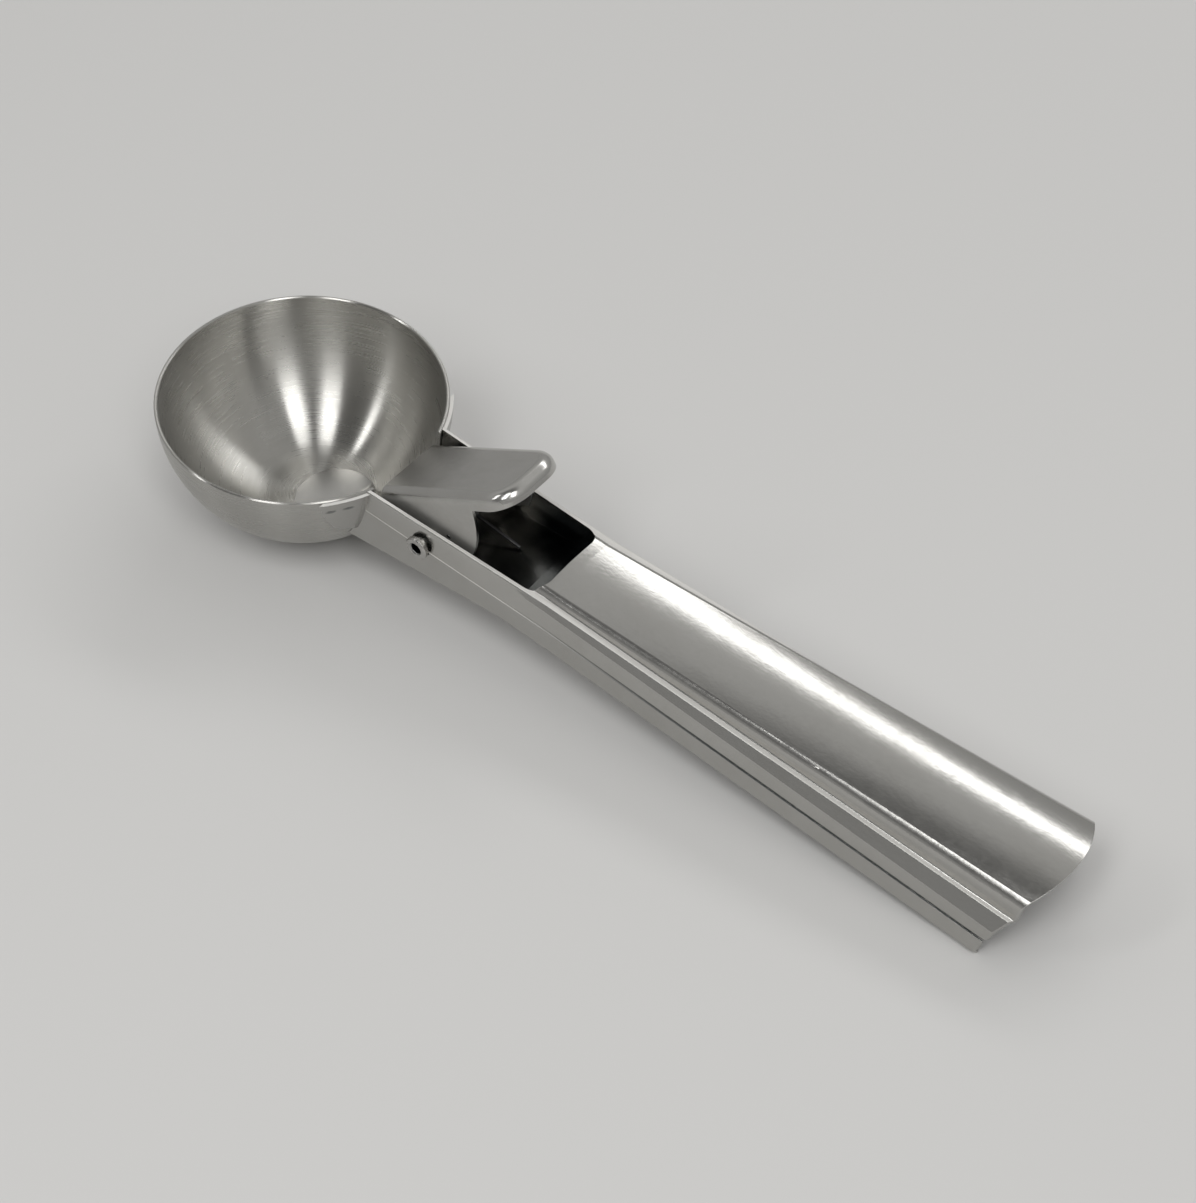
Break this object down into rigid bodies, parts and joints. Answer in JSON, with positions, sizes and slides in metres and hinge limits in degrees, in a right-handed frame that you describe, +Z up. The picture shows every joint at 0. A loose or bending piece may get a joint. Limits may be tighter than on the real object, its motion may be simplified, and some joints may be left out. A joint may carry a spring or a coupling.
{
  "type": "ice cream scoop",
  "caption": "Steel ice cream scoop: a round bowl on a hollow pressed handle, with a sprung thumb lever that swings an ejector tongue up out of the bowl.",
  "frame": {"origin": "on the table the scoop lies on, under the middle of its length and width", "axes": "+X along the scoop from the bowl to the handle's end, +Z up, +Y along the pivot"},
  "size_m": [0.1922, 0.054, 0.0365],
  "materials": {
    "bowl_steel": "brushed round the bowl",
    "handle_steel": "brushed along the handle",
    "lever_steel": "satin",
    "rivet_steel": "rolled, bright",
    "spring_steel": "drawn wire"
  },
  "bodies": {
    "scoop": {"handle": "handle_steel", "bowl": "bowl_steel", "pivot_rivet": "rivet_steel", "return_spring": "spring_steel"},
    "lever": {"thumb_lever": "lever_steel", "ejector": "lever_steel"}
  },
  "joints": [
    {"name": "lever_pivot", "type": "hinge", "parent": "scoop", "child": "lever", "pos_m": [-0.03195, 0, 0.01759], "axis": [0, 1, 0], "range_deg": [0, 35], "stiffness_Nm_per_rad": 0.2, "springref_deg": -8.59, "deforming": ["return_spring"]}
  ]
}
